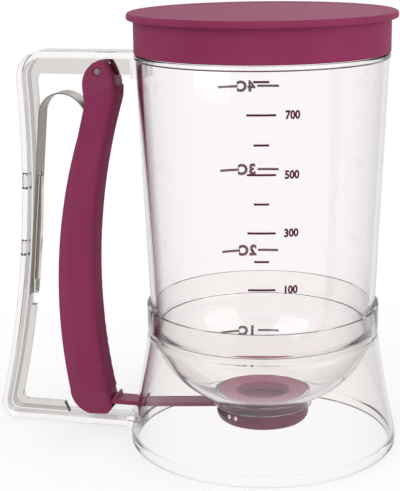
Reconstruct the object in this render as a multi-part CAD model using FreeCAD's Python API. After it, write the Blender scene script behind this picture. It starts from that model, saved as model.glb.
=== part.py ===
import FreeCAD
import Part
import math
import os

V = FreeCAD.Vector

# Frame: millimetres, origin at the centre of the foot ring on the table, +Z up the cup's axis,
# the handle towards -X, and the X-Z plane as the mirror plane of cup, handle and trigger.

# Heights of the main levels
overall_height = 195.0
seat_height = 54.0
shoulder_height = 177.0

# Stand: the flared clear skirt that the cup drops into
foot_radius = 60.8
foot_band_height = 4.2
foot_ring_width = 3.0
foot_chamfer = 0.8
waist_radius = 52.0
flare_mid_share = 0.375
flare_mid_drop = 22.0
stand_wall = 2.0
sleeve_radius = 52.3
sleeve_length = 11.0
ledge_thickness = 2.6
ledge_chamfer = 1.4
sleeve_gap = 0.3

# Cup: tapered wall, dished bowl, outlet collar, bead and neck for the lid
cup_radius_low = 50.2
cup_radius_high = 55.2
cup_wall = 2.2
bowl_radius = 48.6
bowl_bottom = 16.8
bowl_wall = 2.0
bowl_rim_rise = 3.5
bead_height = 1.6
bead_proud = 0.5
neck_radius = 54.1
neck_wall = 1.6
neck_inside_length = 24.0
rim_round = 0.7
collar_wall = 1.9
collar_bottom = 17.2
collar_blend = 2.0

# Lid: pressed on, with a rounded rim that stands out past its skirt
lid_rim_radius = 58.6
lid_rim_height = 3.0
lid_top_thickness = 2.3
lid_skirt_radius = 55.65
lid_skirt_wall = 1.3
lid_skirt_gap = 0.4
lid_seat_gap = 0.1
lid_plug_depth = 6.0
lid_plug_wall = 1.2
lid_plug_gap = 0.3
lid_top_round = 0.9
lid_corner_round = 1.4

# Handle: a clear loop of T section, a flange outside and a thin web inside
handle_top_drop = 0.1
handle_foot_lift = 0.6
flange_width = 13.0
flange_thickness = 3.0
web_thickness = 3.0
top_web_depth = 10.6
grip_web_depth = 7.8
bottom_web_depth = 8.0
grip_top_x = -112.2
grip_top_z = 164.5
grip_middle_x = -113.2
grip_middle_z = 89.3
grip_bottom_x = -126.9
grip_bottom_z = 9.0
corner_top_radius = 12.5
corner_bottom_radius = 6.8
inner_corner_radius = 3.0
flange_edge_round = 0.8
weld_gap = 0.1
pad_width = 16.0
pad_thickness = 2.6
pad_top_height = 11.5
pad_bottom_height = 6.0
lever_bay_end = 2.0
lever_bay_slope = 3.5

# Two cored pockets in the back of the grip
pocket_height = 8.0
pocket_width = 4.0
pocket_depth = 1.9
pocket_upper_z = 116.5
pocket_lower_z = 84.5

# Trigger pivot
pivot_x = -73.3
pivot_z = 168.1
pin_radius = 1.4
pin_running_gap = 0.05
pin_recess = 0.25
pin_end_chamfer = 0.3
boss_radius = 4.6
boss_half_width = 4.0
pin_ring_radius = 2.3
pin_ring_depth = 0.5

# Trigger: a channel, open towards the grip, with a clevis at the top
trigger_half_width = 6.9
trigger_wall = 1.4
clevis_gap = 0.3
clevis_floor_z = 158.0
stop_gap = 0.3
trigger_swing_deg = 7.0
window_below = 1.5
window_above = 0.5
window_side_gap = 0.35

# Soft sleeve over the finger side of the trigger
sleeve_thickness = 1.1
sleeve_proud = 0.45
sleeve_round = 3.0

# Side outline of the trigger: the finger side faces the cup, the open side faces the grip
trigger_back_top = (-68.4, 172.6)
trigger_back_upper = (-65.6, 153.5)
trigger_back_middle = (-77.7, 81.0)
trigger_back_lower = (-70.7, 9.6)
trigger_sole_right = (-73.0, 6.5)
trigger_sole_left = (-82.0, 6.0)
trigger_heel_round = (-88.3, 9.5)
trigger_heel = (-91.6, 17.7)
trigger_front_middle = (-95.0, 77.0)
trigger_front_upper = (-83.4, 138.7)
trigger_front_neck = (-79.7, 153.0)
trigger_head_low = (-80.4, 161.0)
trigger_head_round = (-78.4, 168.6)
trigger_head_top = (-72.0, 173.3)

# Side outline of the soft sleeve's edge on each flank, up the ridge from its toe
sleeve_toe = (-84.0, 18.6)
sleeve_toe_round = (-85.6, 19.2)
sleeve_ridge_low = (-86.3, 21.5)
sleeve_ridge_middle = (-88.95, 66.0)
sleeve_ridge_high = (-80.2, 147.6)
sleeve_ridge_neck = (-78.3, 156.0)
sleeve_front_low = (0, 8.0)
sleeve_front_high = (0, 187.0)

# Leaf spring: a slotted steel strip threaded over the web of the grip
spring_thickness = 0.6
spring_width = 10.0
spring_foot_x = -110.4
spring_foot_z = 62.6
spring_lean_deg = 5.5
spring_arch_radius = 10.4
spring_arch_top_z = 157.9
spring_fall_radius = 12.0
spring_fall_deg = 54.0
spring_tip_radius = 4.0
spring_tip_deg = 62.0
spring_tip_z = 138.0
spring_tip_gap = 0.3
slot_bottom_z = 67.1
slot_top_z = 120.8
slot_side_gap = 0.25
seat_gap = 0.12
hook_opening = 6.0

# Slide: gate plate, rod and the hook that the trigger pulls
gate_radius = 14.0
gate_thickness = 1.9
gate_bottom = 14.9
rod_width = 10.0
rod_thickness = 2.0
rod_bottom = 11.0
rod_rise_start_x = -60.0
rod_rise_end_x = -16.0
hook_height = 5.0
hook_thickness = 1.6
hook_gap = 0.35
nub_height = 2.0
nub_width = 2.0
nub_gap = 0.5
slot_rod_gap = 0.6

# Outlet: seal, twist cap with bayonet lugs, and its window for the gate
outlet_radius = 12.1
seal_flange_radius = 20.5
seal_flange_thickness = 2.0
seal_boss_radius = 15.5
seal_gate_gap = 0.15
collar_bore = 20.7
lug_reach = 1.2
lug_height = 1.4
lug_gap = 0.2
lug_count = 3
lug_span_deg = 21.0
lug_first_deg = 30.0
cap_radius = 21.0
cap_foot_radius = 18.0
cap_bottom = 9.7
cap_floor = 2.4
cap_round = 3.4
cap_wall = 1.8
cap_collar_gap = 0.2
cap_neck_wall = 1.6
cap_lug_gap = 0.3
cap_twist_deg = 25.0
nozzle_wall = 1.9
gate_rest_gap = 0.2
window_margin_deg = 1.7
window_depth = 1.4


def flat(point):
    """Place an (x, z) pair in the mirror plane."""
    return V(point[0], 0, point[1])


def ellipse_edge(here, step):
    """Arc of an upright ellipse about the cup's axis: the step is (half width, depth, end)."""
    half, depth, end = step
    centre = V(0, 0, seat_height)
    curve = Part.Ellipse(V(half, 0, seat_height), V(0, 0, seat_height - depth), centre)
    angles = sorted(math.atan2((seat_height - p.z) / depth, p.x / half) for p in (here, flat(end)))
    return Part.ArcOfEllipse(curve, angles[0], angles[1]).toShape()


def outline(start, steps):
    """Closed face in the mirror plane: (end,) is a line, (middle, end) an arc, three items an ellipse."""
    edges = []
    here = flat(start)
    for step in steps:
        end = flat(step[-1])
        if len(step) == 1:
            edges.append(Part.LineSegment(here, end).toShape())
        elif len(step) == 2:
            edges.append(Part.Arc(here, flat(step[0]), end).toShape())
        else:
            edges.append(ellipse_edge(here, step))
        here = end
    return Part.Face(Part.Wire(edges))


def lines(points):
    """Steps of straight lines through the points."""
    return [(point,) for point in points]


def turned(start, steps):
    """Solid of revolution about the cup's axis."""
    return outline(start, steps).revolve(V(0, 0, 0), V(0, 0, 1), 360)


def slab(start, steps, half_width):
    """Solid of a mirror-plane outline, as wide on both sides of that plane."""
    face = outline(start, steps)
    face.translate(V(0, -half_width, 0))
    return face.extrude(V(0, 2 * half_width, 0))


def block(x0, x1, half_width, z0, z1):
    """Box that is centred on the mirror plane."""
    return Part.makeBox(x1 - x0, 2 * half_width, z1 - z0, V(x0, -half_width, z0))


def cross_rod(radius, half_width, x, z):
    """Cylinder across the mirror plane."""
    return Part.makeCylinder(radius, 2 * half_width, V(x, -half_width, z), V(0, 1, 0))


def ring_sector(inner, outer, z0, z1, middle_deg, span_deg):
    """Part of a flat ring, span_deg wide about middle_deg."""
    face = outline((inner, z0), lines([(outer, z0), (outer, z1), (inner, z1), (inner, z0)]))
    sector = face.revolve(V(0, 0, 0), V(0, 0, 1), span_deg)
    sector.rotate(V(0, 0, 0), V(0, 0, 1), middle_deg - span_deg / 2)
    return sector


def bowl_height(radius, half, depth):
    """Height of the bowl's ellipse at a radius."""
    return seat_height - depth * math.sqrt(1 - (radius / half) ** 2)


def cup_outer(z):
    """Outer radius of the cup's tapered wall."""
    share = (z - seat_height) / (shoulder_height - seat_height)
    return cup_radius_low + (cup_radius_high - cup_radius_low) * share


def circle_through(a, b, c):
    """Centre and radius of the circle through three (x, z) points."""
    circle = Part.Circle(flat(a), flat(b), flat(c))
    return circle.Center.x, circle.Center.z, circle.Radius


def long_edges(solid, wanted):
    """Edges of a solid whose middle point passes the test."""
    found = []
    for edge in solid.Edges:
        middle = edge.valueAt((edge.FirstParameter + edge.LastParameter) / 2)
        if wanted(edge, middle):
            found.append(edge)
    return found


# Values that follow from the driving dimensions
bowl_depth = seat_height - bowl_bottom
flare_mid_radius = waist_radius + flare_mid_share * (foot_radius - waist_radius)
flare_mid_height = seat_height - flare_mid_drop
trigger_shell = sleeve_thickness + trigger_wall
cup_top = overall_height - lid_top_thickness - lid_seat_gap
handle_top = shoulder_height - handle_top_drop
sleeve_top = seat_height + sleeve_length
flange_underside = handle_top - flange_thickness
web_underside = handle_top - top_web_depth
grip_centre_x, grip_centre_z, grip_arc_radius = circle_through(
    (grip_top_x, grip_top_z), (grip_middle_x, grip_middle_z), (grip_bottom_x, grip_bottom_z))
lug_inner = collar_bore - lug_reach
cap_neck_radius = lug_inner - cap_lug_gap
cap_top = collar_bottom - cap_collar_gap
cap_neck_top = collar_bottom + 2 * lug_height + lug_gap
seal_bottom = gate_bottom + gate_thickness + seal_gate_gap
seal_top = cap_neck_top + lug_gap + seal_flange_thickness
slot_half = web_thickness / 2 + slot_side_gap


def grip_x(z, inset):
    """X of the grip's bowed back face at a height, or of a curve that lies inset inside it."""
    return grip_centre_x + math.sqrt((grip_arc_radius + inset) ** 2 - (z - grip_centre_z) ** 2)


def spring_x(z):
    """X of the spring's straight run at a height."""
    return spring_foot_x + (z - spring_foot_z) * math.tan(math.radians(spring_lean_deg))


def make_cup():
    """Clear measuring cup: wall, bowl and outlet collar in one moulding."""
    bowl_inside = bowl_radius - bowl_wall
    depth_inside = bowl_depth - bowl_wall
    collar_outer = collar_bore + collar_wall
    blend_radius = collar_outer + collar_blend
    blend_z = bowl_height(blend_radius, bowl_radius, bowl_depth)
    bead_bottom = shoulder_height - bead_height
    bead_radius = cup_radius_high + bead_proud
    neck_inner = neck_radius - neck_wall
    inside_top = cup_top - neck_inside_length
    inside_low = seat_height + bowl_rim_rise
    steps = lines([(collar_outer, collar_bottom), (collar_outer, blend_z - collar_blend / 2),
                   (blend_radius, blend_z)])
    steps.append((bowl_radius, bowl_depth, (bowl_radius, seat_height)))
    steps += lines([(cup_radius_low, seat_height),
                    (cup_outer(bead_bottom - bead_proud), bead_bottom - bead_proud),
                    (bead_radius, bead_bottom),
                    (bead_radius, shoulder_height - bead_proud),
                    (cup_radius_high, shoulder_height),
                    (neck_radius, shoulder_height),
                    (neck_radius, cup_top - rim_round),
                    (neck_radius - rim_round, cup_top),
                    (neck_inner + rim_round, cup_top),
                    (neck_inner, cup_top - rim_round),
                    (neck_inner, inside_top),
                    (cup_outer(inside_low) - cup_wall, inside_low),
                    (bowl_inside, seat_height)])
    steps.append((bowl_inside, depth_inside, (collar_bore, bowl_height(collar_bore, bowl_inside, depth_inside))))
    steps += lines([(collar_bore, collar_bottom)])
    cup = turned((collar_bore, collar_bottom), steps)
    for index in range(lug_count):
        middle = lug_first_deg + index * 360 / lug_count
        lug = ring_sector(lug_inner, collar_bore + collar_wall / 2, collar_bottom,
                          collar_bottom + lug_height, middle, lug_span_deg)
        cup = cup.fuse(lug)
    return cup.removeSplitter()


def stand_outside(gap):
    """Steps of the stand's outer profile from the table to the sleeve's top, grown by a gap."""
    steps = lines([(foot_radius + gap, foot_chamfer), (foot_radius + gap, foot_band_height)])
    steps.append(((flare_mid_radius + gap, flare_mid_height), (waist_radius + gap, seat_height)))
    steps += lines([(sleeve_radius + gap, seat_height + foot_chamfer), (sleeve_radius + gap, sleeve_top)])
    return steps


def make_stand():
    """Clear flared stand: sleeve round the cup's lower end, ledge under its shoulder, slot for the rod."""
    steps = stand_outside(0)
    ledge_bottom = seat_height - ledge_thickness
    wall_top = ledge_bottom - ledge_chamfer
    inner_waist = waist_radius - stand_wall
    inner_foot = foot_radius - foot_ring_width
    steps += lines([(cup_outer(sleeve_top) + sleeve_gap, sleeve_top),
                    (cup_radius_low + sleeve_gap, seat_height),
                    (bowl_radius + sleeve_gap, seat_height),
                    (bowl_radius + sleeve_gap, ledge_bottom),
                    (inner_waist, wall_top)])
    steps.append(((flare_mid_radius - stand_wall, flare_mid_height),
                  (foot_radius - stand_wall, foot_band_height + foot_chamfer)))
    steps += lines([(inner_foot, foot_band_height), (inner_foot, 0), (foot_radius - foot_chamfer, 0)])
    stand = turned((foot_radius - foot_chamfer, 0), steps)
    slot_top = rod_top_at(rod_rise_start_x + gate_travel) + slot_rod_gap
    slot = block(-foot_radius, -waist_radius + stand_wall, rod_width / 2 + slot_rod_gap,
                 rod_bottom - slot_rod_gap, slot_top)
    corner = long_edges(slot, lambda edge, middle: abs(middle.y) > rod_width / 2
                        and abs(edge.BoundBox.XLength) > foot_ring_width)
    return stand.cut(slot.makeFillet(slot_rod_gap, corner))


def rod_top_at(x):
    """Height of the rod's upper face along its rise from the trigger to the gate."""
    share = (x - rod_rise_start_x) / (rod_rise_end_x - rod_rise_start_x)
    rise = (gate_bottom - rod_bottom) * min(max(share, 0), 1)
    return rod_bottom + rod_thickness + rise


gate_travel = (pivot_z - rod_bottom - rod_thickness / 2) * math.tan(math.radians(trigger_swing_deg))


def grip_region(inset_top, inset_grip, inset_bottom, radius_top, radius_bottom, half_width):
    """Solid inside the handle's loop, at three insets from its outer faces, with round corners."""
    z0 = handle_foot_lift + inset_bottom
    z1 = handle_top - inset_top
    middle_z = (z0 + z1) / 2
    steps = [((grip_x(middle_z, inset_grip), middle_z), (grip_x(z1, inset_grip), z1))]
    steps += lines([(0, z1), (0, z0), (grip_x(z0, inset_grip), z0)])
    solid = slab((grip_x(z0, inset_grip), z0), steps, half_width)
    upper = long_edges(solid, lambda edge, middle: middle.x < -foot_radius and abs(middle.z - z1) < 0.01
                       and edge.BoundBox.YLength > half_width)
    solid = solid.makeFillet(radius_top, upper)
    lower = long_edges(solid, lambda edge, middle: middle.x < -foot_radius and abs(middle.z - z0) < 0.01
                       and edge.BoundBox.YLength > half_width)
    return solid.makeFillet(radius_bottom, lower)


def make_flange():
    """Outer band of the handle's T section, with softened long edges."""
    half = flange_width / 2
    outer = grip_region(0, 0, 0, corner_top_radius, corner_bottom_radius, half)
    outside = long_edges(outer, lambda edge, middle: abs(abs(middle.y) - half) < 0.01
                         and middle.x < -flange_width)
    outer = outer.makeFillet(flange_edge_round, outside)
    t = flange_thickness
    inner = grip_region(t, t, t, corner_top_radius - t, corner_bottom_radius - t, flange_width)
    return outer.cut(inner)


def web_bay():
    """Space over the bottom flange that the trigger's lower end swings through."""
    end_x = trigger_back_x(rod_bottom) - trigger_shell - gate_travel - lever_bay_end
    top = handle_foot_lift + bottom_web_depth + flange_thickness
    floor = handle_foot_lift + flange_thickness
    points = [(0, floor), (0, top), (end_x - lever_bay_slope, top), (end_x, floor)]
    return slab((end_x, floor), lines(points), web_thickness)


def spring_seat():
    """Cuts in the web for the spring: a seat above its slot, and a hook for its lower end."""
    tilt = math.tan(math.radians(spring_lean_deg))
    back = -(spring_thickness / 2 + seat_gap) / math.cos(math.radians(spring_lean_deg))
    seat_low = slot_top_z - slot_half - seat_gap
    seat_high = grip_top_z
    reach = -back + top_web_depth
    seat = [(spring_x(seat_low) + back + reach, seat_low), (spring_x(seat_high) + back + reach, seat_high),
            (spring_x(seat_high) + back, seat_high), (spring_x(seat_low) + back, seat_low)]
    cuts = slab(seat[-1], lines(seat), web_thickness)
    hook_top = slot_bottom_z + slot_half + seat_gap
    hook_low = spring_foot_z - hook_opening
    slit = [(spring_x(hook_top) - back, hook_top), (spring_x(spring_foot_z) - back, spring_foot_z),
            (spring_x(spring_foot_z) - back + grip_web_depth, spring_foot_z - tilt),
            (spring_x(hook_low) + grip_web_depth, hook_low), (spring_x(hook_low) + back, hook_low),
            (spring_x(hook_top) + back, hook_top)]
    return cuts.fuse(slab(slit[-1], lines(slit), web_thickness))


def make_web():
    """Thin inner rib of the handle's T section."""
    half = web_thickness / 2
    start = flange_thickness / 2
    outer = grip_region(start, start, start, corner_top_radius - start, corner_bottom_radius - start, half)
    inner = grip_region(top_web_depth, grip_web_depth, bottom_web_depth,
                        inner_corner_radius, inner_corner_radius, web_thickness)
    web = outer.cut(inner)
    return web.cut(web_bay()).cut(spring_seat())


def grip_pockets():
    """Two upright oval pockets in the back of the grip."""
    half = pocket_width / 2
    straight = pocket_height - pocket_width
    pockets = []
    for z in (pocket_upper_z, pocket_lower_z):
        depth_x = grip_x(z, pocket_depth)
        start_x = depth_x - 2 * flange_thickness
        pocket = Part.makeBox(depth_x - start_x, pocket_width, straight, V(start_x, -half, z - straight / 2))
        for end in (-straight / 2, straight / 2):
            pocket = pocket.fuse(Part.makeCylinder(half, depth_x - start_x, V(start_x, 0, z + end), V(1, 0, 0)))
        pockets.append(pocket)
    return pockets


def make_handle():
    """Clear handle loop with its welded pads, pivot boss, spring seat and pockets."""
    handle = make_flange().fuse(make_web())
    top_pad = block(-cup_outer(web_underside) - pad_thickness, 0, pad_width / 2,
                    handle_top - pad_top_height, handle_top)
    foot_pad = block(-foot_radius - pad_thickness, 0, pad_width / 2,
                     handle_foot_lift, handle_foot_lift + pad_bottom_height)
    boss = cross_rod(boss_radius, boss_half_width, pivot_x, pivot_z)
    handle = handle.fuse([top_pad, foot_pad, boss])
    handle = handle.cut(cross_rod(pin_radius + pin_running_gap, flange_width, pivot_x, pivot_z))
    handle = handle.cut(grip_pockets())
    low_radius = cup_outer(0) + weld_gap
    high_radius = cup_outer(overall_height) + weld_gap
    bead_low = shoulder_height - bead_height - 2 * bead_proud
    bead = Part.makeCylinder(cup_radius_high + bead_proud + weld_gap, overall_height, V(0, 0, bead_low))
    cup_space = Part.makeCone(low_radius, high_radius, overall_height).fuse(bead)
    stand_steps = stand_outside(weld_gap) + lines([(0, sleeve_top), (0, 0), (foot_radius - foot_chamfer, 0)])
    stand_space = turned((foot_radius - foot_chamfer, 0), stand_steps)
    return handle.cut(cup_space).cut(stand_space).removeSplitter()


def trigger_back_x(z):
    """X of the trigger's finger-side curve at a height between its toe and neck."""
    x, centre_z, radius = circle_through(trigger_back_upper, trigger_back_middle, trigger_back_lower)
    return x - math.sqrt(radius ** 2 - (z - centre_z) ** 2)


def trigger_crown():
    """Middle point of the arc that carries the finger side on, smoothly, to the trigger's head."""
    x, z, radius = circle_through(trigger_back_upper, trigger_back_middle, trigger_back_lower)
    start = flat(trigger_back_upper)
    chord = flat(trigger_back_top) - start
    along = V(start.z - z, 0, x - start.x)
    half_turn = along.getAngle(chord)
    bulge = chord.Length / 2 * math.tan(half_turn / 2)
    middle = start + chord / 2 + V(chord.z, 0, -chord.x).normalize() * bulge
    return middle.x, middle.z


def trigger_solid(inset):
    """Solid of the trigger's side outline, with its finger side and flanks moved in and rounded."""
    def back(point):
        return (point[0] - inset, point[1])
    half_width = trigger_half_width + sleeve_proud - inset
    steps = [(back(trigger_crown()), back(trigger_back_upper)),
             (back(trigger_back_middle), back(trigger_back_lower)),
             (back(trigger_sole_right),), (trigger_sole_left,), (trigger_heel_round, trigger_heel),
             (trigger_front_middle, trigger_front_upper), (trigger_front_neck,), (trigger_head_low,),
             (trigger_head_round, trigger_head_top), (back(trigger_back_top),)]
    solid = slab(back(trigger_back_top), steps, half_width)
    edges = long_edges(solid, lambda edge, middle: abs(abs(middle.y) - half_width) < 0.01
                       and middle.x > trigger_back_x(middle.z) - sleeve_round
                       and trigger_back_lower[1] < middle.z < trigger_back_top[1])
    return solid.makeFillet(sleeve_round - inset, edges)


def sleeve_region():
    """Space that the soft sleeve covers, up to its ridge line on each flank."""
    steps = [(sleeve_ridge_middle, sleeve_ridge_high), (sleeve_ridge_neck,), (sleeve_front_high,),
             (sleeve_front_low,), (sleeve_toe,), (sleeve_toe_round, sleeve_ridge_low)]
    return slab(sleeve_ridge_low, steps, 2 * trigger_half_width)


def trigger_channel():
    """Inside of the trigger: wide channel below, narrower clevis round the handle's boss above."""
    def floor(point):
        return (point[0] - trigger_shell, point[1])
    clear_x = -overall_height
    upper = floor(trigger_back_upper)
    sole = floor(trigger_sole_right)
    steps = [(floor(trigger_back_middle), floor(trigger_back_lower)), (sole,),
             ((sole[0], -trigger_shell),), ((clear_x, -trigger_shell),),
             ((clear_x, clevis_floor_z),), ((upper[0], clevis_floor_z),), (upper,)]
    wide = slab(upper, steps, trigger_half_width - trigger_wall)
    shoulder = web_underside - stop_gap
    points = [(upper[0], clevis_floor_z - trigger_wall), (upper[0], shoulder), (0, shoulder),
              (0, overall_height), (clear_x, overall_height), (clear_x, clevis_floor_z - trigger_wall)]
    narrow = slab(points[-1], lines(points), boss_half_width + clevis_gap)
    return wide.fuse(narrow)


def make_trigger():
    """Squeeze trigger: hollow channel with clevis cheeks, pin holes and a window for the rod."""
    skin = sleeve_region().cut(trigger_solid(sleeve_thickness))
    body = trigger_solid(sleeve_proud).cut(skin).cut(trigger_channel())
    body = body.cut(cross_rod(pin_radius, 2 * trigger_half_width, pivot_x, pivot_z))
    for side in (-1, 1):
        start = side * (trigger_half_width - pin_ring_depth)
        ring = Part.makeCylinder(pin_ring_radius, 2 * pin_ring_depth, V(pivot_x, start, pivot_z), V(0, side, 0))
        body = body.cut(ring)
    window = block(trigger_heel[0], 0, rod_width / 2 + window_side_gap,
                   rod_bottom - window_below, rod_bottom + rod_thickness + window_above)
    return body.cut(window)


def make_sleeve():
    """Soft sleeve moulded over the trigger's finger side and flanks."""
    return trigger_solid(0).common(sleeve_region()).cut(trigger_solid(sleeve_thickness))


def make_pin():
    """Steel pivot pin with chamfered ends, pressed into both cheeks."""
    half = trigger_half_width - pin_recess
    pin = cross_rod(pin_radius, half, pivot_x, pivot_z)
    rims = long_edges(pin, lambda edge, middle: abs(abs(middle.y) - half) < 0.01)
    return pin.makeChamfer(pin_end_chamfer, rims)


def turn_path(point, heading, radius, turn_deg):
    """End of an arc that turns clockwise, with its middle point and new heading."""
    def moved(angle):
        a0 = math.radians(heading)
        a1 = math.radians(heading - angle)
        return (point[0] + radius * (math.sin(a0) - math.sin(a1)),
                point[1] - radius * (math.cos(a0) - math.cos(a1)))
    return moved(turn_deg / 2), moved(turn_deg), heading - turn_deg


def spring_side(offset):
    """One long face of the spring: foot, straight run, arch, fall and curled tip."""
    lean = math.radians(spring_lean_deg)
    fall = math.radians(spring_fall_deg)
    centre_z = spring_arch_top_z - spring_arch_radius
    line_x = spring_x(centre_z + spring_arch_radius * math.sin(lean))
    centre_x = line_x + spring_arch_radius * math.cos(lean)
    arch = spring_arch_radius + offset
    foot = (spring_foot_x - offset * math.cos(lean), spring_foot_z + offset * math.sin(lean))
    start = (centre_x - arch * math.cos(lean), centre_z + arch * math.sin(lean))
    arch_mid, arch_top, heading = turn_path(start, 90 - spring_lean_deg, arch, 90 - spring_lean_deg)
    fall_mid, fall_end, heading = turn_path(arch_top, heading, spring_fall_radius + offset, spring_fall_deg)
    touch_x = trigger_back_x(spring_tip_z) - trigger_shell - spring_tip_gap - spring_thickness / 2
    widest = spring_tip_radius * (1 - math.sin(fall))
    run = (touch_x - widest - centre_x - spring_fall_radius * math.sin(fall)) / math.cos(fall)
    tip_start = (fall_end[0] + run * math.cos(fall), fall_end[1] - run * math.sin(fall))
    tip_mid, tip_end, heading = turn_path(tip_start, heading, spring_tip_radius + offset, spring_tip_deg)
    return [foot, start, (arch_mid, arch_top), (fall_mid, fall_end), tip_start, (tip_mid, tip_end)]


def make_spring():
    """Steel leaf spring with the long slot that the web of the grip passes through."""
    half = spring_thickness / 2
    outer = spring_side(half)
    inner = spring_side(-half)
    steps = [(outer[1],), outer[2], outer[3], (outer[4],), outer[5], (inner[5][1],),
             (inner[5][0], inner[4]), (inner[3][1],), (inner[3][0], inner[2][1]),
             (inner[2][0], inner[1]), (inner[0],), (outer[0],)]
    strip = slab(outer[0], steps, spring_width / 2)
    low = slot_bottom_z + slot_half
    high = slot_top_z - slot_half
    reach = spring_arch_radius
    slot = block(spring_x(low) - reach, spring_x(high) + reach, slot_half, low, high)
    for z in (low, high):
        start = V(spring_x(z) - reach, 0, z)
        slot = slot.fuse(Part.makeCylinder(slot_half, 2 * reach, start, V(1, 0, 0)))
    front = spring_x(slot_top_z) + spring_arch_radius
    keep = block(-overall_height, front, spring_width, 0, slot_top_z + slot_half)
    return strip.cut(slot.common(keep))


def make_gate_slide():
    """Sliding gate: round plate, rising rod, hook behind the trigger's wall and nub in front of it."""
    top = gate_bottom + gate_thickness
    plate = Part.makeCylinder(gate_radius, gate_thickness, V(0, 0, gate_bottom))
    hook_top = rod_bottom + rod_thickness + hook_height
    hook_x = trigger_back_x(hook_top) - trigger_shell - hook_gap
    level_top = rod_bottom + rod_thickness
    points = [(hook_x, hook_top), (hook_x, level_top), (rod_rise_start_x, level_top), (rod_rise_end_x, top),
              (0, top), (0, gate_bottom), (rod_rise_end_x, gate_bottom), (rod_rise_start_x, rod_bottom),
              (hook_x - hook_thickness, rod_bottom), (hook_x - hook_thickness, hook_top)]
    rod = slab(points[-1], lines(points), rod_width / 2)
    nub_x = trigger_back_x(level_top) + nub_gap
    nub_points = [(nub_x, rod_bottom + rod_thickness / 2), (nub_x, level_top + nub_height / 2),
                  (nub_x + nub_width / 4, level_top + nub_height),
                  (nub_x + 3 * nub_width / 4, level_top + nub_height),
                  (nub_x + nub_width, rod_bottom + rod_thickness / 2)]
    nub = slab(nub_points[-1], lines(nub_points), rod_width / 2)
    return plate.fuse([rod, nub]).removeSplitter()


def make_seal():
    """Soft outlet seal: flange in the collar, boss down to the gate, bore for the batter."""
    flange_bottom = seal_top - seal_flange_thickness
    points = [(seal_boss_radius, seal_bottom), (seal_boss_radius, flange_bottom),
              (seal_flange_radius, flange_bottom), (seal_flange_radius, seal_top),
              (outlet_radius, seal_top), (outlet_radius, seal_bottom)]
    return turned(points[-1], lines(points))


def make_cap():
    """Twist cap: dished foot, nozzle that carries the gate, neck with bayonet lugs, window for the gate."""
    floor_top = cap_bottom + cap_floor
    nozzle_radius = outlet_radius + nozzle_wall
    rest = gate_bottom - gate_rest_gap
    inner = cap_radius - cap_wall
    neck_inner = cap_neck_radius - cap_neck_wall
    side_low = cap_bottom + cap_round
    side_mid = (cap_radius - (cap_radius - cap_foot_radius) * (1 - math.sqrt(0.5)),
                cap_bottom + cap_round * (1 - math.sqrt(0.5)))
    steps = [((cap_foot_radius, cap_bottom),), (side_mid, (cap_radius, side_low))]
    steps += lines([(cap_radius, cap_top), (cap_neck_radius, cap_top), (cap_neck_radius, cap_neck_top),
                    (neck_inner, cap_neck_top), (neck_inner, cap_top - cap_wall / 2),
                    (inner - cap_wall / 2, cap_top - cap_wall), (inner - cap_wall / 2, floor_top),
                    (nozzle_radius, floor_top), (nozzle_radius, rest), (outlet_radius, rest),
                    (outlet_radius, cap_bottom)])
    cap = turned((outlet_radius, cap_bottom), steps)
    for index in range(lug_count):
        middle = lug_first_deg + index * 360 / lug_count
        lug_bottom = collar_bottom + lug_height + lug_gap
        cap = cap.fuse(ring_sector(neck_inner + cap_neck_wall / 2, collar_bore - cap_lug_gap,
                                   lug_bottom, cap_neck_top, middle, lug_span_deg))
    half_deg = math.degrees(math.asin(gate_radius / neck_inner)) + window_margin_deg
    span = 2 * half_deg + cap_twist_deg
    window = ring_sector(nozzle_radius + gate_rest_gap, cap_radius + cap_wall, gate_bottom - window_depth,
                         cap_top, 180 - cap_twist_deg / 2, span)
    return cap.cut(window).removeSplitter()


def make_lid():
    """Press-on lid: flat top with a rounded rim, straight skirt and an inner plug ring."""
    rim_bottom = overall_height - lid_rim_height
    nose = lid_rim_radius
    roof = overall_height - lid_top_thickness
    skirt_bottom = shoulder_height + lid_skirt_gap
    skirt_inner = lid_skirt_radius - lid_skirt_wall
    plug_outer = neck_radius - neck_wall - lid_plug_gap
    plug_inner = plug_outer - lid_plug_wall
    round_mid = math.sqrt(0.5)
    steps = [((nose - lid_corner_round, overall_height),),
             ((nose - lid_corner_round * (1 - round_mid), overall_height - lid_corner_round * (1 - round_mid)),
              (nose, overall_height - lid_corner_round)),
             ((nose, rim_bottom + lid_top_round),),
             ((nose - lid_top_round * (1 - round_mid), rim_bottom + lid_top_round * (1 - round_mid)),
              (nose - lid_top_round, rim_bottom))]
    steps += lines([(lid_skirt_radius, rim_bottom), (lid_skirt_radius, skirt_bottom),
                    (skirt_inner, skirt_bottom), (skirt_inner, roof), (plug_outer, roof),
                    (plug_outer, roof - lid_plug_depth + lid_plug_wall / 2),
                    (plug_outer - lid_plug_wall / 2, roof - lid_plug_depth),
                    (plug_inner, roof - lid_plug_depth), (plug_inner, roof), (0, roof)])
    steps.append(((0, overall_height),))
    return turned((0, overall_height), steps)


makers = {
    "cup": make_cup,
    "stand": make_stand,
    "handle": make_handle,
    "lid": make_lid,
    "trigger": make_trigger,
    "trigger_sleeve": make_sleeve,
    "pivot_pin": make_pin,
    "leaf_spring": make_spring,
    "gate_slide": make_gate_slide,
    "outlet_seal": make_seal,
    "valve_cap": make_cap,
}

os.makedirs("parts", exist_ok=True)
for name, maker in makers.items():
    maker().Solids[0].exportStep("parts/" + name + ".step")
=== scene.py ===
"""A clear batter dispenser with a squeeze trigger: its finished surfaces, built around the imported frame."""

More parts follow.
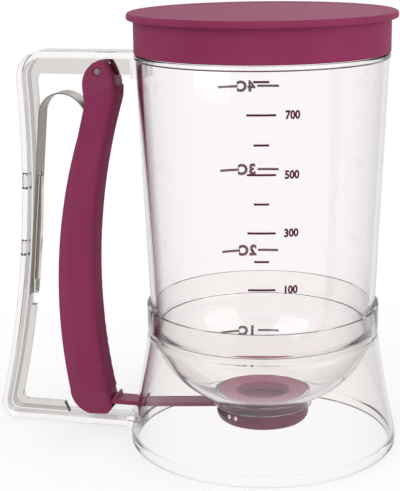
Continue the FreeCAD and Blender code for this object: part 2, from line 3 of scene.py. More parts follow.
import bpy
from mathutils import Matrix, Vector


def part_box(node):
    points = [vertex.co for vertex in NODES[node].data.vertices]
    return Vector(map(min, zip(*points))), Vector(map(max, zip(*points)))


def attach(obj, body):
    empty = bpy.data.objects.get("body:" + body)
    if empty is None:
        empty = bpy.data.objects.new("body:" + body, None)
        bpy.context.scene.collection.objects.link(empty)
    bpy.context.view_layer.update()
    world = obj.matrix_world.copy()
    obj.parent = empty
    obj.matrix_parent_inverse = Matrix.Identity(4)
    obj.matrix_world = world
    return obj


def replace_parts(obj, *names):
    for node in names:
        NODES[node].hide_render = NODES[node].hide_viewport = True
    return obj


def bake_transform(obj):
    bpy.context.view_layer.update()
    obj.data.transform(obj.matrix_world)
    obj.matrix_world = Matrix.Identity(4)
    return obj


bl_info = {
    "name": "Batter Dispenser",
    "version": (1, 0, 0),
    "blender": (4, 5, 0),
    "location": "View3D > Sidebar > Dispenser",
    "description": "Builds the visible pieces of a clear batter dispenser around its frame",
    "category": "Add Mesh",
}

import math
import bpy
from bpy.props import FloatProperty, FloatVectorProperty, IntProperty, PointerProperty
from mathutils import Matrix, Vector

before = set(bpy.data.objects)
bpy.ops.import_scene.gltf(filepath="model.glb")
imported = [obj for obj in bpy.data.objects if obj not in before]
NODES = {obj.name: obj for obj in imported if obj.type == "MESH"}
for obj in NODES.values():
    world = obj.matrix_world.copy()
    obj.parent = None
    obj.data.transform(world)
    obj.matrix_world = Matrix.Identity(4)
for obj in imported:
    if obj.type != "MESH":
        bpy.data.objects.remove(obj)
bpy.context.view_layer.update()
LID_LOW, LID_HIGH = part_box("lid")
SEAL_LOW, SEAL_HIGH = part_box("outlet_seal")
PIN_LOW, PIN_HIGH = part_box("pivot_pin")
CAP_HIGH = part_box("valve_cap")[1]
STAND_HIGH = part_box("stand")[1]
MM = 0.001

# Points nearer than this are one, and edges are smooth, flat or rounded by these angles
MERGE_DISTANCE = 2e-6
SMOOTH_ANGLE = math.radians(32)
FLAT_ANGLE = math.radians(0.6)
ROUNDED_ANGLE = math.radians(40)

# Cup wall, tapered between two heights, which the printed scales lie on
CUP_RADIUS_LOW = 50.2 * MM
CUP_RADIUS_HIGH = 55.2 * MM
CUP_LOW = 54.0 * MM
CUP_HIGH = 177.0 * MM

# Flare of the stand: three points of its arc outside and inside, as (radius, height)
FLARE = [(60.8 * MM, 4.2 * MM), (55.3 * MM, 32.0 * MM), (52.0 * MM, 54.0 * MM)]
FLARE_INSIDE = [(50.0 * MM, 50.0 * MM), (53.3 * MM, 32.0 * MM), (58.8 * MM, 5.0 * MM)]

# Elliptic bowl of the cup in millimetres, as (half width, depth, radius at the collar)
BOWL_OUTSIDE = (48.6, 37.2, 24.6)
BOWL_INSIDE = (46.6, 35.2, 20.7)

# Profile corners in millimetres, as (radius, height)
CUP_WALL = [(50.2, 54.0), (55.11, 174.9), (55.7, 175.4), (55.7, 176.5), (55.2, 177.0), (54.1, 177.0),
            (54.1, 191.9), (53.9, 192.4), (53.4, 192.6), (53.2, 192.6), (52.7, 192.4), (52.5, 191.9),
            (52.5, 168.6), (48.14, 57.5)]
COLLAR = [(20.7, 17.2), (22.6, 17.2), (22.6, 20.9)]
STAND_FOOT = [(60.0, 0.0), (60.8, 0.8)]
STAND_SLEEVE = [(52.3, 54.8), (52.3, 65.0), (50.95, 65.0), (50.5, 54.0), (48.9, 54.0), (48.9, 51.4)]
STAND_RING = [(57.8, 4.2), (57.8, 0.0)]
CAP_SIDE = [(18.0, 9.7), (19.3, 9.96), (20.12, 10.7), (20.74, 11.8), (21.0, 13.1), (21.0, 17.0),
            (19.2, 17.0), (19.2, 20.2), (17.6, 20.2), (17.6, 16.1), (18.3, 15.2), (18.3, 12.1), (14.0, 12.1),
            (14.0, 14.7), (12.1, 14.7), (12.1, 9.7)]
CAP_WINDOW = [(14.2, 13.5), (22.8, 13.5), (22.8, 17.0), (14.2, 17.0)]
CUP_LUG = [(19.5, 17.2), (21.6, 17.2), (21.6, 18.6), (19.5, 18.6)]
CAP_LUG = [(18.4, 18.8), (20.4, 18.8), (20.4, 20.2), (18.4, 20.2)]

# Window of the cap and bayonet lugs, as middles and spans in degrees
CAP_WINDOW_MIDDLE = 167.5
CAP_WINDOW_SPAN = 133.8
LUG_MIDDLES = (30, 150, 270)
LUG_SPAN = 21.0

# Slot of the stand that the rod runs through
SLOT_LOW = (-66.0 * MM, -5.6 * MM, 10.4 * MM)
SLOT_HIGH = (-46.0 * MM, 5.6 * MM, 15.3 * MM)
SLOT_ROUND = 0.6 * MM

# Half of the space about the handle's middle that holds its web, which gets a greyer tint as painted shade
WEB_HALF = 2.0 * MM

# Share of the lamps' light that passes straight through clear plastic
CLEAR_PASS = 0.7

# How late a clear wall turns grey towards its edge, a painted shade: a thin wall stays bright for longer
THIN_FALLOFF = 2.6
THICK_FALLOFF = 1.0

# Heights of the volume marks, from the lowest up, with a number at every second line
ML_STEP_HEIGHT = 12.2 * MM
ML_FIRST_HEIGHT = 84.4 * MM
ML_TOP_HEIGHT = 170.9 * MM
ML_NUMBERS = ("100", "", "300", "", "500", "", "700", "")
CUP_MARKS = {"1C": 32.8 * MM, "2C": 75.6 * MM, "3C": 115.7 * MM, "4C": 156.0 * MM}

# Places of the lines and numbers round the wall, and the lines' spans, in degrees
ML_LINES_AT = -78.8
ML_LONG_SPAN = 12.6
ML_SHORT_SPAN = 6.7
ML_NUMBERS_AT = -65.5
CUP_LINES = ((119.3, 10.5), (98.3, 11.3))
CUP_NUMBERS_AT = 109.8

# Weight, width and spacing of the letters
SMALL_LETTERS = (0.2 * MM, 0.86, 1.0)
CUP_LETTERS = (0.4 * MM, 0.98, 1.16)

# Two small ring marks beside the twist cap's window, as (degrees round the cap, height)
CAP_MARKS = ((-124.0, 14.6 * MM), (-113.5, 14.6 * MM))

# The floor glows less near the object, so that its shadow shows, and turns white further off
FLOOR_SIZE = 8000 * MM
FLOOR_DROP = 0.2 * MM
FLOOR_GLOW = 0.62
GLOW_NEAR = 100 * MM
GLOW_FAR = 450 * MM

# Strength of the world as a light
WORLD_LIGHT = 0.75

# Area lamps, as place in metres, size in metres and power in watts
LAMPS = {
    "key": ((-0.55, -0.9, 1.0), 0.9, 6.0),
    "fill": ((0.95, -0.45, 0.5), 0.9, 5.0),
    "back": ((0.1, 0.9, 0.9), 0.8, 2.5),
}
LAMP_AIM = (0, 0, 0.1)

# Camera: place, angles in radians, turn about the upright axis, lens and sensor in millimetres
CAMERA_PLACE = (115.593 * MM, -568.157 * MM, 236.987 * MM)
CAMERA_YAW = -0.0483
CAMERA_PITCH = 0.2471
CAMERA_ROLL = -0.0140
HANDLE_TURN = math.radians(11.5)
CAMERA_LENS = 97.42
CAMERA_SENSOR = 36.0


def srgb(red, green, blue):
    """Linear colour of an 8-bit screen colour."""
    shares = [value / 255 for value in (red, green, blue)]
    return tuple(s / 12.92 if s <= 0.04045 else ((s + 0.055) / 1.055) ** 2.4 for s in shares)


def length(label, description, millimetres):
    """A length property."""
    return FloatProperty(name=label, description=description, default=millimetres * MM, unit="LENGTH",
                         precision=5)


def colour(label, description, red, green, blue):
    """A colour property."""
    return FloatVectorProperty(name=label, description=description, subtype="COLOR", size=3,
                               min=0, max=1, default=srgb(red, green, blue))


class DispenserSizes(bpy.types.PropertyGroup):
    """Sizes of the finishing details."""
    lid_skirt_radius: length("Lid skirt radius", "Outside of the lid's straight skirt", 55.65)
    lid_skirt_wall: length("Lid skirt wall", "Wall of the lid's skirt", 1.3)
    lid_rim_height: length("Lid rim height", "Height of the rim that stands out past the skirt", 3.0)
    lid_top_thickness: length("Lid top thickness", "Thickness of the lid's flat top", 2.3)
    lid_round: length("Lid rim round", "Round of the rim's upper edge", 1.4)
    lid_dish: length("Lid dish", "How far the lid's top dips inside its raised border", 0.35)
    lid_plug_radius: length("Lid plug radius", "Outside of the ring that plugs into the cup", 52.2)
    lid_plug_wall: length("Lid plug wall", "Wall of the plug ring", 1.2)
    lid_plug_depth: length("Lid plug depth", "Depth of the plug ring", 6.0)
    seal_bore: length("Seal bore", "Radius of the hole that the batter falls through", 12.1)
    seal_boss: length("Seal boss", "Radius of the seal's boss above the gate", 15.5)
    seal_flange: length("Seal flange", "Thickness of the seal's upper flange", 2.0)
    pin_chamfer: length("Pin chamfer", "Chamfer on the pivot pin's ends", 0.3)
    print_lift: length("Print lift", "How far the printed scales stand off the wall", 0.1)
    print_thickness: length("Print thickness", "Thickness of the printed ink", 0.05)
    mark_thickness: length("Mark thickness", "Height of a printed line", 0.9)
    cup_mark_thickness: length("Cup mark thickness", "Height of a printed line of the cup scale", 1.2)
    number_height: length("Number height", "Height of the printed numbers", 4.7)
    cup_number_height: length("Cup number height", "Height of the numbers of the cup scale", 7.0)
    ring_mark_height: length("Ring mark height", "Height of the ring marks on the twist cap", 3.4)
    soft_edge: length("Soft edge", "Width of the softened edges of the moulded pieces", 0.2)
    segments: IntProperty(name="Segments", description="Steps round a turned piece", default=160, min=24)


class DispenserColours(bpy.types.PropertyGroup):
    """Colours of the materials."""
    clear: colour("Clear cup", "Tint of the cup seen face on", 253, 251, 251)
    # A little darker than the cup: painted shade on the stand
    clear_stand_painted_shade: colour("Clear stand", "Tint of the stand seen face on", 250, 248, 247)
    # Greyer tint painted on the handle's web as shade
    clear_web_painted_shade: colour("Clear web", "Tint of the flat web inside the handle", 220, 217, 213)
    # Grey painted shade on the clear mouldings where a wall is seen edge on
    clear_edge_painted_shade: colour("Clear edge", "Tint of the clear mouldings seen edge on", 150, 143, 146)
    maroon: colour("Maroon plastic", "Lid, trigger and rod", 124, 40, 76)
    grip: colour("Soft sleeve", "Soft sleeve of the trigger", 127, 46, 81)
    valve: colour("Valve plastic", "Twist cap", 104, 44, 70)
    silicone: colour("Silicone", "Outlet seal", 186, 106, 136)
    steel: colour("Steel", "Leaf spring and pivot pin", 140, 131, 124)
    ink: colour("Ink", "Printed millilitre scale", 70, 8, 38)
    # Brighter than the front ink: painted light on the back print, whose seen side is unlit
    cup_ink_painted_light: colour("Cup ink", "Printed cup scale", 106, 4, 50)
    pale_ink: colour("Pale ink", "Marks on the twist cap", 236, 226, 230)
    floor: colour("Floor", "Pale floor", 246, 246, 246)


class Wire:
    """A shader socket whose arithmetic adds the Math nodes for it."""

    def __init__(self, graph, socket):
        self.graph = graph
        self.socket = socket

    def maths(self, operation, first, second):
        """Add one Math node."""
        return self.graph.node("Math", {"operation": operation}, {0: first, 1: second})

    def __add__(self, other):
        return self.maths("ADD", self, other)

    def __radd__(self, other):
        return self.maths("ADD", other, self)

    def __rsub__(self, other):
        return self.maths("SUBTRACT", other, self)

    def __mul__(self, other):
        return self.maths("MULTIPLY", self, other)

    def __rmul__(self, other):
        return self.maths("MULTIPLY", other, self)

    def __pow__(self, other):
        return self.maths("POWER", self, other)


class Graph:
    """A node tree that is being filled."""

    def __init__(self, tree):
        self.tree = tree
        tree.nodes.clear()

    def node(self, kind, settings=None, sockets=None, output=0):
        """Add a node, set it up, feed its sockets and return one of its outputs."""
        made = self.tree.nodes.new("ShaderNode" + kind)
        for key, value in (settings or {}).items():
            if key == "stops":
                self.fill_ramp(made.color_ramp, value)
            else:
                setattr(made, key, value)
        for key, value in (sockets or {}).items():
            self.feed(made.inputs[key], value)
        return Wire(self, made.outputs[output]) if len(made.outputs) else None

    def fill_ramp(self, ramp, stops):
        """Set a ramp's stops from (place, colour) pairs."""
        while len(ramp.elements) < len(stops):
            ramp.elements.new(1.0)
        for element, (place, tint) in zip(ramp.elements, stops):
            element.position = place
            element.color = (*tint, 1.0)

    def feed(self, socket, value):
        """Link a wire to a socket, or set the socket's own value."""
        if isinstance(value, Wire):
            self.tree.links.new(value.socket, socket)
        elif socket.type == "RGBA" and len(value) == 3:
            socket.default_value = (*value, 1.0)
        else:
            socket.default_value = value

    def mix(self, share, first, second):
        """Blend two colours."""
        return self.node("Mix", {"data_type": "RGBA"}, {0: share, 6: first, 7: second}, output=2)

    def noise(self, scale, detail=2.0, stretch=(1, 1, 1)):
        """Noise over the piece's own coordinates, stretched by three factors."""
        spot = self.node("TexCoord", output="Object")
        spread = self.node("Mapping", sockets={"Vector": spot, "Scale": stretch})
        return self.node("TexNoise", sockets={"Vector": spread, "Scale": scale, "Detail": detail})


class Finish(Graph):
    """A material with one Principled surface."""

    def __init__(self, name):
        self.material = bpy.data.materials.new(name)
        self.material.use_nodes = True
        super().__init__(self.material.node_tree)

    def surface(self, bump=None, strength=0.1, distance=0.0002, **sockets):
        """Close the material with its surface. A socket's name has _ for a space."""
        named = {key.replace("_", " "): value for key, value in sockets.items()}
        if bump is not None:
            named["Normal"] = self.node("Bump", sockets={"Height": bump, "Strength": strength,
                                                         "Distance": distance})
        shader = self.node("BsdfPrincipled", sockets=named)
        self.node("OutputMaterial", sockets={"Surface": shader})
        return self.material


def clear_plastic(name, face, rim, falloff, web=None):
    """Clear moulded plastic: bright face on, painted grey shade where a wall is seen edge on, faint flow
    ripples.

    It lets light through to what stands behind it. A flat web in its middle may get a greyer tint, a painted
    shade.
    """
    finish = Finish(name)
    shadow = finish.node("LightPath", output="Is Shadow Ray")
    # Painted shade: the web in the handle's middle gets a greyer tint
    if web:
        spot = finish.node("TexCoord", output="Object")
        across = finish.node("SeparateXYZ", sockets={"Vector": spot}, output="Y")
        middle = finish.node("Math", {"operation": "COMPARE"}, {0: across, 1: 0.0, 2: WEB_HALF})
        face = finish.mix(middle, face, web)
    # Painted shade: the tint turns to the grey edge colour where the wall is seen edge on
    edge = finish.node("LayerWeight", sockets={"Blend": 0.5}, output="Facing") ** falloff
    flow = finish.noise(26, 1.5, (1, 1, 0.35))
    tint = finish.mix(edge, face, rim)
    return finish.surface(Base_Color=tint, Roughness=0.012 * flow, IOR=1.4, Specular_IOR_Level=0.25,
                          Transmission_Weight=1.0, Alpha=1 - CLEAR_PASS * shadow,
                          bump=flow, strength=0.03, distance=0.0012)


def moulded_plastic(name, tint, gloss, ior=1.3):
    """Coloured moulded plastic: faint flow marks, fine grain and slightly worn gloss."""
    finish = Finish(name)
    flow = finish.noise(38, 3, (1, 1, 0.3))
    grain = finish.noise(2400, 2)
    pale = tuple(value * 1.16 + 0.006 for value in tint)
    deep = tuple(value * 0.86 for value in tint)
    shade = finish.mix(flow, deep, pale)
    rough = gloss + 0.12 * flow + 0.05 * grain
    return finish.surface(Base_Color=shade, Roughness=rough, IOR=ior,
                          bump=grain, strength=0.12, distance=0.00008)


def soft_grip(name, tint):
    """Soft overmoulded skin: matt, with a fine eggshell grain."""
    finish = Finish(name)
    grain = finish.noise(1500, 3)
    cloud = finish.noise(60, 2)
    shade = finish.mix(cloud, tuple(value * 0.88 for value in tint), tuple(value * 1.12 for value in tint))
    return finish.surface(Base_Color=shade, Roughness=0.72 + 0.14 * cloud, IOR=1.2,
                          bump=grain, strength=0.25, distance=0.00012)


def rolled_steel(name, tint, stretch):
    """Cold-rolled steel with fine lines along its length."""
    finish = Finish(name)
    lines = finish.noise(900, 4, stretch)
    cloud = finish.noise(80, 2)
    shade = finish.mix(cloud, tuple(value * 0.84 for value in tint), tint)
    return finish.surface(Base_Color=shade, Metallic=1.0, Roughness=0.24 + 0.18 * lines,
                          bump=lines, strength=0.1, distance=0.00005)


def silicone(name, tint):
    """Soft silicone: matt, a little uneven in tone."""
    finish = Finish(name)
    cloud = finish.noise(90, 2)
    shade = finish.mix(cloud, tuple(value * 0.9 for value in tint), tint)
    return finish.surface(Base_Color=shade, Roughness=0.42 + 0.12 * cloud, IOR=1.41,
                          bump=cloud, strength=0.05)


def ink(name, tint):
    """Printed ink, a little uneven in tone."""
    finish = Finish(name)
    speckle = finish.noise(1800, 2)
    shade = finish.mix(speckle, tint, tuple(value * 1.3 + 0.01 for value in tint))
    return finish.surface(Base_Color=shade, Roughness=0.45 + 0.1 * speckle, Specular_IOR_Level=0.1)


def select_only(piece):
    """Leave edit mode and select one object alone."""
    if bpy.context.object and bpy.context.object.mode != "OBJECT":
        bpy.ops.object.mode_set(mode="OBJECT")
    bpy.ops.object.select_all(action="DESELECT")
    if piece:
        piece.select_set(True)
        bpy.context.view_layer.objects.active = piece


def apply_modifier(piece, kind, **settings):
    """Add a modifier, set it up and apply it."""
    select_only(piece)
    modifier = piece.modifiers.new(kind.title(), kind)
    for key, value in settings.items():
        setattr(modifier, key, value)
    bpy.ops.object.modifier_apply(modifier=modifier.name)


def tidy_mesh(piece, recalculate):
    """Merge doubled points and, where asked, turn all faces outwards."""
    select_only(piece)
    bpy.ops.object.mode_set(mode="EDIT")
    bpy.ops.mesh.select_all(action="SELECT")
    bpy.ops.mesh.remove_doubles(threshold=MERGE_DISTANCE)
    if recalculate:
        bpy.ops.mesh.normals_make_consistent(inside=False)
    bpy.ops.object.mode_set(mode="OBJECT")


def place(piece, name, body, slot, material):
    """Name a finished piece, smooth it, give it its material and hang it on its body, if it has one."""
    select_only(piece)
    bpy.ops.object.shade_smooth_by_angle(angle=SMOOTH_ANGLE)
    apply_modifier(piece, "WEIGHTED_NORMAL", keep_sharp=True)
    piece.name = name
    piece.data.name = name
    piece.data.materials.clear()
    piece.data.materials.append(material)
    if body:
        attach(piece, body)
    return piece


def dress(node, piece, name, body, slot, material):
    """Finish a piece that stands for a node of the frame."""
    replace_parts(place(piece, name, body, slot, material), node)


def from_frame(node, soft_edge=0):
    """A merged copy of a frame node's mesh, with its sharp edges softened where a width is given."""
    piece = bpy.data.objects.new(node + "_skin", NODES[node].data.copy())
    bpy.context.scene.collection.objects.link(piece)
    select_only(piece)
    if piece.data.has_custom_normals:
        bpy.ops.mesh.customdata_custom_splitnormals_clear()
    tidy_mesh(piece, False)
    if soft_edge:
        bpy.ops.object.mode_set(mode="EDIT")
        bpy.ops.mesh.select_all(action="SELECT")
        bpy.ops.mesh.dissolve_limited(angle_limit=FLAT_ANGLE)
        bpy.ops.object.mode_set(mode="OBJECT")
        soften(piece, soft_edge)
    return piece


def circle_through(points):
    """Centre and radius of the circle through three points."""
    (ax, ay), (bx, by), (cx, cy) = points
    double = 2 * (ax * (by - cy) + bx * (cy - ay) + cx * (ay - by))
    a2, b2, c2 = ax ** 2 + ay ** 2, bx ** 2 + by ** 2, cx ** 2 + cy ** 2
    x = (a2 * (by - cy) + b2 * (cy - ay) + c2 * (ay - by)) / double
    y = (a2 * (cx - bx) + b2 * (ax - cx) + c2 * (bx - ax)) / double
    return x, y, math.hypot(ax - x, ay - y)


def flare_points(points, count=28):
    """Points along the flare's arc, from the first to the last of three points."""
    across, middle, reach = circle_through(points)
    levels = [points[0][1] + (points[2][1] - points[0][1]) * index / count for index in range(count + 1)]
    return [(across - math.sqrt(reach ** 2 - (level - middle) ** 2), level) for level in levels]


def bowl_points(bowl, count=32):
    """Points up an elliptic bowl, from its collar to its rim, in metres."""
    half, depth, inner = bowl
    last = math.acos(inner / half)
    angles = [last * (1 - index / count) for index in range(count + 1)]
    return [(half * math.cos(angle) * MM, CUP_LOW - depth * math.sin(angle) * MM) for angle in angles]


def metres(points):
    """Profile corners in metres."""
    return [(radius * MM, height * MM) for radius, height in points]


def turned(profile, segments, middle_deg=0, span_deg=360):
    """A solid turned about the cup's axis from a closed profile, whole or as a sector."""
    select_only(None)
    bpy.ops.mesh.primitive_circle_add(vertices=len(profile), radius=1, fill_type="NOTHING")
    piece = bpy.context.object
    for vertex, (radius, height) in zip(piece.data.vertices, profile):
        vertex.co = (radius, 0, height)
    steps = max(4, round(segments * span_deg / 360))
    apply_modifier(piece, "SCREW", angle=math.radians(span_deg), steps=steps, render_steps=steps,
                   use_merge_vertices=True, merge_threshold=MERGE_DISTANCE)
    if span_deg < 360:
        bpy.ops.object.mode_set(mode="EDIT")
        bpy.ops.mesh.select_all(action="SELECT")
        bpy.ops.mesh.fill_holes(sides=0)
        bpy.ops.object.mode_set(mode="OBJECT")
    piece.rotation_euler.z = math.radians(middle_deg - span_deg / 2)
    bpy.ops.object.transform_apply(location=True, rotation=True, scale=True)
    tidy_mesh(piece, True)
    return piece


def lugs(profile, segments):
    """The three bayonet lugs of one profile."""
    return [turned(metres(profile), segments, middle, LUG_SPAN) for middle in LUG_MIDDLES]


def cut_away(piece, tool):
    """Cut one solid out of another and delete the cutter."""
    apply_modifier(piece, "BOOLEAN", object=tool, operation="DIFFERENCE", solver="EXACT")
    select_only(tool)
    bpy.ops.object.delete()
    tidy_mesh(piece, False)


def soften(piece, width):
    """Round a piece's sharp edges a little."""
    apply_modifier(piece, "BEVEL", width=width, segments=2, limit_method="ANGLE",
                   angle_limit=ROUNDED_ANGLE)


def quarter_round(centre, radius, first_deg, last_deg, count=6):
    """Points of an arc in a turned profile."""
    points = []
    for index in range(count + 1):
        angle = math.radians(first_deg + (last_deg - first_deg) * index / count)
        points.append((centre[0] + radius * math.cos(angle), centre[1] + radius * math.sin(angle)))
    return points


def sizes():
    """The size settings."""
    return bpy.context.scene.dispenser_sizes


def colours():
    """The colour settings."""
    return bpy.context.scene.dispenser_colours


def wall_radius(height):
    """Outer radius of the cup's wall, or of the stand's flare below it."""
    if height >= STAND_HIGH.z:
        share = (height - CUP_LOW) / (CUP_HIGH - CUP_LOW)
        return CUP_RADIUS_LOW + (CUP_RADIUS_HIGH - CUP_RADIUS_LOW) * share
    across, middle, reach = circle_through(FLARE)
    return across - math.sqrt(reach ** 2 - (height - middle) ** 2)


def wrap(piece, azimuth_deg, height, radius_at=wall_radius):
    """Bend a flat print round a wall: its own X runs round the wall, Y up and Z outwards."""
    lift = sizes().print_lift
    for vertex in piece.data.vertices:
        level = height + vertex.co.y
        radius = radius_at(level)
        angle = math.radians(azimuth_deg) + vertex.co.x / radius
        reach = radius + lift + vertex.co.z
        vertex.co = (reach * math.cos(angle), reach * math.sin(angle), level)


def printed_line(azimuth_deg, span_deg, height, thickness):
    """A printed line that runs round the wall."""
    select_only(None)
    bpy.ops.mesh.primitive_grid_add(x_subdivisions=12, y_subdivisions=2, size=1)
    piece = bpy.context.object
    width = math.radians(span_deg) * wall_radius(height)
    for vertex in piece.data.vertices:
        vertex.co.x *= width
        vertex.co.y *= thickness
    apply_modifier(piece, "SOLIDIFY", thickness=sizes().print_thickness, offset=1)
    wrap(piece, azimuth_deg, height)
    return piece


def printed_text(text, text_height, letters, azimuth_deg, height, radius_at=wall_radius):
    """A printed number or sign that lies on a wall and reads from outside."""
    weight, squeeze, spacing = letters
    select_only(None)
    bpy.ops.object.text_add()
    piece = bpy.context.object
    piece.data.body = text
    piece.data.size = text_height
    piece.data.offset = weight
    piece.data.space_character = spacing
    piece.data.align_x = "CENTER"
    piece.data.align_y = "CENTER"
    piece.data.extrude = sizes().print_thickness / 2
    piece.data.resolution_u = 3
    bpy.ops.object.convert(target="MESH")
    piece = bpy.context.object
    tidy_mesh(piece, False)
    levels = [vertex.co.y for vertex in piece.data.vertices]
    middle = (min(levels) + max(levels)) / 2
    for vertex in piece.data.vertices:
        vertex.co.x *= squeeze
        vertex.co.y -= middle
    wrap(piece, azimuth_deg, height, radius_at)
    return piece


def joined(pieces):
    """Several prints as one object."""
    select_only(pieces[0])
    for piece in pieces[1:]:
        piece.select_set(True)
    bpy.ops.object.join()
    return bpy.context.object


class DISPENSER_OT_clear_mouldings(bpy.types.Operator):
    """Cup, stand and handle in clear plastic."""
    bl_idname = "dispenser.clear_mouldings"
    bl_label = "Clear mouldings"

    def execute(self, context):
        c = colours()
        soft = sizes().soft_edge
        made = {"cup": (self.make_cup(), c.clear, THIN_FALLOFF, None),
                "stand": (self.make_stand(), c.clear_stand_painted_shade, THIN_FALLOFF, None),
                "handle": (from_frame("handle", soft), c.clear, THICK_FALLOFF, c.clear_web_painted_shade)}
        for node, (piece, face, falloff, web) in made.items():
            material = clear_plastic("clear_" + node, face, c.clear_edge_painted_shade, falloff, web)
            dress(node, piece, node + "_clear", "root", "clear_plastic", material)
        return {"FINISHED"}

    def make_cup(self):
        """Turned cup: collar, bowl, tapered wall, bead and neck, with the bayonet lugs."""
        profile = metres(COLLAR) + bowl_points(BOWL_OUTSIDE) + metres(CUP_WALL)
        profile += reversed(bowl_points(BOWL_INSIDE))
        cup = turned(profile, sizes().segments)
        soften(cup, sizes().soft_edge)
        return joined([cup] + lugs(CUP_LUG, sizes().segments))

    def make_stand(self):
        """Turned stand with its sleeve, ledge and foot ring, and the slot for the rod."""
        profile = metres(STAND_FOOT) + flare_points(FLARE) + metres(STAND_SLEEVE)
        profile += flare_points(FLARE_INSIDE) + metres(STAND_RING)
        stand = turned(profile, sizes().segments)
        soften(stand, sizes().soft_edge)
        select_only(None)
        bpy.ops.mesh.primitive_cube_add(size=1, location=(Vector(SLOT_LOW) + Vector(SLOT_HIGH)) / 2)
        slot = bpy.context.object
        slot.dimensions = Vector(SLOT_HIGH) - Vector(SLOT_LOW)
        bpy.ops.object.transform_apply(location=True, rotation=True, scale=True)
        apply_modifier(slot, "BEVEL", width=SLOT_ROUND, segments=3)
        cut_away(stand, slot)
        return stand


class DISPENSER_OT_lid(bpy.types.Operator):
    """Press-on lid with a rounded rim, a raised border and a plug ring."""
    bl_idname = "dispenser.lid"
    bl_label = "Lid"

    def execute(self, context):
        s = sizes()
        top = LID_HIGH.z
        roof = top - s.lid_top_thickness
        rim = LID_HIGH.x - s.lid_round
        border = rim - 2 * s.lid_round
        under = top - s.lid_rim_height
        small = s.lid_round / 2
        skirt_inner = s.lid_skirt_radius - s.lid_skirt_wall
        profile = [(0, top - s.lid_dish), (border - s.lid_round, top - s.lid_dish)]
        profile += [(border - s.lid_round / 2, top - s.lid_dish / 2), (border, top)]
        profile += quarter_round((rim, top - s.lid_round), s.lid_round, 90, 0)
        profile += quarter_round((LID_HIGH.x - small, under + small), small, 0, -90)
        profile += quarter_round((s.lid_skirt_radius + small / 2, under - small / 2), small / 2, 90, 180, 3)
        profile += [(s.lid_skirt_radius, LID_LOW.z + small / 2), (s.lid_skirt_radius - small / 2, LID_LOW.z)]
        profile += [(skirt_inner + small / 2, LID_LOW.z), (skirt_inner, LID_LOW.z + small / 2)]
        profile += [(skirt_inner, roof), (s.lid_plug_radius, roof)]
        profile += [(s.lid_plug_radius, roof - s.lid_plug_depth + small)]
        profile += [(s.lid_plug_radius - small, roof - s.lid_plug_depth)]
        profile += [(s.lid_plug_radius - s.lid_plug_wall, roof - s.lid_plug_depth)]
        profile += [(s.lid_plug_radius - s.lid_plug_wall, roof), (0, roof)]
        material = moulded_plastic("lid_plastic", colours().maroon, 0.5, 1.18)
        dress("lid", turned(profile, s.segments), "press_on_lid", "lid_body", "maroon_plastic", material)
        return {"FINISHED"}


class DISPENSER_OT_trigger(bpy.types.Operator):
    """Squeeze trigger, its soft sleeve and its steel pivot pin."""
    bl_idname = "dispenser.trigger"
    bl_label = "Trigger"

    def execute(self, context):
        shell = moulded_plastic("trigger_plastic", colours().maroon, 0.38)
        skin = soft_grip("trigger_grip", colours().grip)
        steel = rolled_steel("pin_steel", colours().steel, (1, 0.05, 1))
        lever = from_frame("trigger", sizes().soft_edge)
        dress("trigger", lever, "trigger_lever", "trigger_body", "maroon_plastic", shell)
        sleeve = from_frame("trigger_sleeve", sizes().soft_edge)
        dress("trigger_sleeve", sleeve, "trigger_soft_sleeve", "trigger_body", "soft_grip", skin)
        self.make_pin(steel)
        return {"FINISHED"}

    def make_pin(self, steel):
        """Turned pin with chamfered ends."""
        centre = (PIN_LOW + PIN_HIGH) / 2
        select_only(None)
        bpy.ops.mesh.primitive_cylinder_add(vertices=48, radius=(PIN_HIGH.x - PIN_LOW.x) / 2,
                                            depth=PIN_HIGH.y - PIN_LOW.y, location=centre,
                                            rotation=(math.pi / 2, 0, 0))
        pin = bpy.context.object
        bpy.ops.object.transform_apply(location=True, rotation=True, scale=True)
        soften(pin, sizes().pin_chamfer)
        dress("pivot_pin", pin, "pivot_pin_steel", "trigger_body", "steel", steel)


class DISPENSER_OT_spring(bpy.types.Operator):
    """Steel leaf spring between the grip and the trigger."""
    bl_idname = "dispenser.spring"
    bl_label = "Leaf spring"

    def execute(self, context):
        steel = rolled_steel("spring_steel", colours().steel, (1, 1, 0.04))
        piece = place(from_frame("leaf_spring"), "leaf_spring_strip", None, "steel", steel)
        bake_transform(piece)
        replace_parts(piece, "leaf_spring")
        return {"FINISHED"}


